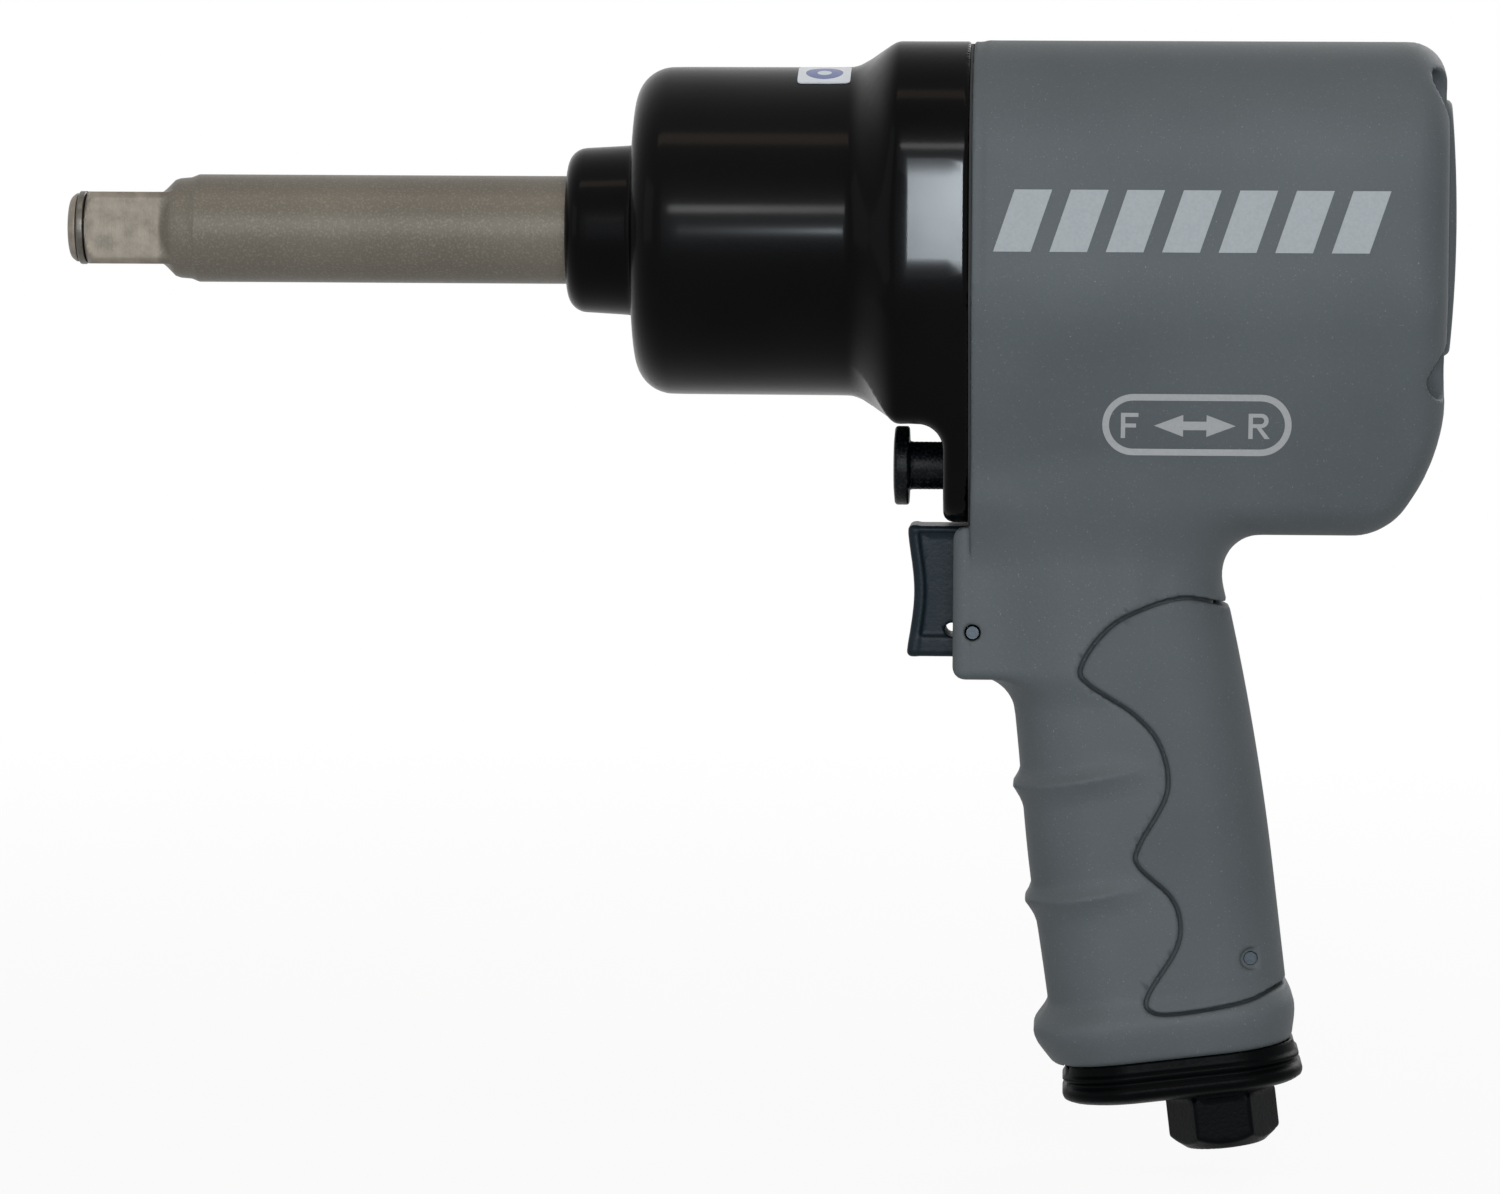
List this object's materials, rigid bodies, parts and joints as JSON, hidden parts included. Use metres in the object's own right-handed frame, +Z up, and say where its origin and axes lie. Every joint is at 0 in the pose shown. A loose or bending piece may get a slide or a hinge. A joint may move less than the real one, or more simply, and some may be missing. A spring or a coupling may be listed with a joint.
{
  "type": "air impact wrench",
  "caption": "Pistol-grip air impact wrench with a long square anvil, black hammer case, grey housing, trigger and reverse knob.",
  "frame": {"origin": "on the drive axis, at the shoulder face the drive square stands on", "axes": "+X runs along the drive axis from the square to the back of the tool, +Z is up with the grip hanging down, and +Y is across"},
  "size_m": [0.2439, 0.0666, 0.1941],
  "materials": {
    "anvil_steel": "dark phosphated steel",
    "spring_steel": "spring steel",
    "seal_rubber": "black seal rubber",
    "black_painted_case": "cast aluminium, gloss black paint",
    "bronze": "sintered bronze",
    "mechanism_steel": "hardened alloy steel",
    "motor_iron": "ground cast iron",
    "bearing_steel": "polished bearing steel",
    "vane_composite": "fibre phenolic",
    "gasket_sheet": "gasket sheet",
    "grey_composite": "fine-textured grey glass-filled nylon",
    "black_oxide_steel": "black oxide fasteners",
    "grip_rubber": "soft moulded grey rubber",
    "black_anodised": "black anodised aluminium",
    "black_plastic": "black moulded nylon",
    "inlet_steel": "black finished steel",
    "muffler_felt": "sintered felt",
    "label_film": "printed label film"
  },
  "bodies": {
    "tool_body": {"hammer_case": "black_painted_case", "hammer_case_bushing": "bronze", "anvil_oil_seal": "seal_rubber", "anvil_thrust_washer": "spring_steel", "front_end_plate": "motor_iron", "front_bearing_outer_race": "bearing_steel", "motor_cylinder": "motor_iron", "cylinder_dowel_pins": "mechanism_steel", "rear_end_plate": "motor_iron", "rear_bearing_outer_race": "bearing_steel", "rear_wave_washer": "spring_steel", "hammer_case_gasket": "gasket_sheet", "motor_housing": "grey_composite", "rear_cover": "grey_composite", "rear_cover_gasket": "gasket_sheet", "housing_bolts": "black_oxide_steel", "bolt_washers": "black_oxide_steel", "palm_grip_pad": "grip_rubber", "reverse_valve_sleeve": "bronze", "spool_stop_pin": "mechanism_steel", "throttle_rod_bushing": "bronze", "trigger_return_spring": "spring_steel", "trigger_retaining_pin": "mechanism_steel", "throttle_valve_seat": "seal_rubber", "throttle_valve_spring": "spring_steel", "inlet_bushing": "inlet_steel", "inlet_o_ring": "seal_rubber", "inlet_screen": "spring_steel", "inlet_retaining_pin": "mechanism_steel", "exhaust_deflector": "black_plastic", "muffler_element": "muffler_felt", "nose_label": "label_film"},
    "motor_shaft": {"rotor": "mechanism_steel", "rotor_vanes": "vane_composite", "front_bearing_inner_race": "bearing_steel", "rear_bearing_inner_race": "bearing_steel", "hammer_cage": "mechanism_steel", "hammer_pins": "mechanism_steel"},
    "drive_anvil": {"anvil": "anvil_steel", "socket_retaining_ring": "spring_steel", "retaining_ring_o_ring": "seal_rubber"},
    "front_hammer_dog": {"hammer_front": "mechanism_steel"},
    "rear_hammer_dog": {"hammer_rear": "mechanism_steel"},
    "front_ball_set": {"front_bearing_balls": "bearing_steel"},
    "rear_ball_set": {"rear_bearing_balls": "bearing_steel"},
    "reverse_valve": {"reverse_spool": "mechanism_steel", "spool_o_rings": "seal_rubber", "reverse_knob": "black_anodised"},
    "trigger_slider": {"trigger": "black_plastic", "throttle_rod": "mechanism_steel"},
    "tilt_valve": {"throttle_valve": "bronze"}
  },
  "joints": [
    {"name": "motor_spin", "type": "hinge", "parent": "tool_body", "child": "motor_shaft", "pos_m": [0.17, 0, 0], "axis": [1, 0, 0], "continuous": true},
    {"name": "anvil_spin", "type": "hinge", "parent": "tool_body", "child": "drive_anvil", "pos_m": [0.04, 0, 0], "axis": [1, 0, 0], "continuous": true},
    {"name": "front_hammer_rock", "type": "hinge", "parent": "motor_shaft", "child": "front_hammer_dog", "pos_m": [0.0976, 0, 0.018], "axis": [1, 0, 0], "range_deg": [-3, 3]},
    {"name": "rear_hammer_rock", "type": "hinge", "parent": "motor_shaft", "child": "rear_hammer_dog", "pos_m": [0.108, 0, -0.018], "axis": [1, 0, 0], "range_deg": [-3, 3]},
    {"name": "front_balls_spin", "type": "hinge", "parent": "tool_body", "child": "front_ball_set", "pos_m": [0.134, 0, 0], "axis": [1, 0, 0], "continuous": true},
    {"name": "rear_balls_spin", "type": "hinge", "parent": "tool_body", "child": "rear_ball_set", "pos_m": [0.208, 0, 0], "axis": [1, 0, 0], "continuous": true},
    {"name": "reverse_slide", "type": "slide", "parent": "tool_body", "child": "reverse_valve", "axis": [1, 0, 0], "range_m": [0, 0.005]},
    {"name": "trigger_slide", "type": "slide", "parent": "tool_body", "child": "trigger_slider", "axis": [1, 0, 0], "range_m": [0, 0.0038], "stiffness_N_per_m": 1500, "springref_m": -0.003, "deforming": ["trigger_return_spring"]},
    {"name": "throttle_valve_tilt", "type": "hinge", "parent": "tool_body", "child": "tilt_valve", "pos_m": [0.17549, 0, -0.1025], "axis": [0, 1, 0], "range_deg": [0, 5.7], "deforming": ["throttle_valve_spring"]}
  ],
  "couplings": [
    {"joint": "anvil_spin", "follows": "motor_spin", "ratio": 1},
    {"joint": "front_balls_spin", "follows": "motor_spin", "ratio": 0.39},
    {"joint": "rear_balls_spin", "follows": "motor_spin", "ratio": 0.39},
    {"joint": "throttle_valve_tilt", "follows": "trigger_slide", "rad_per_m": 26}
  ]
}
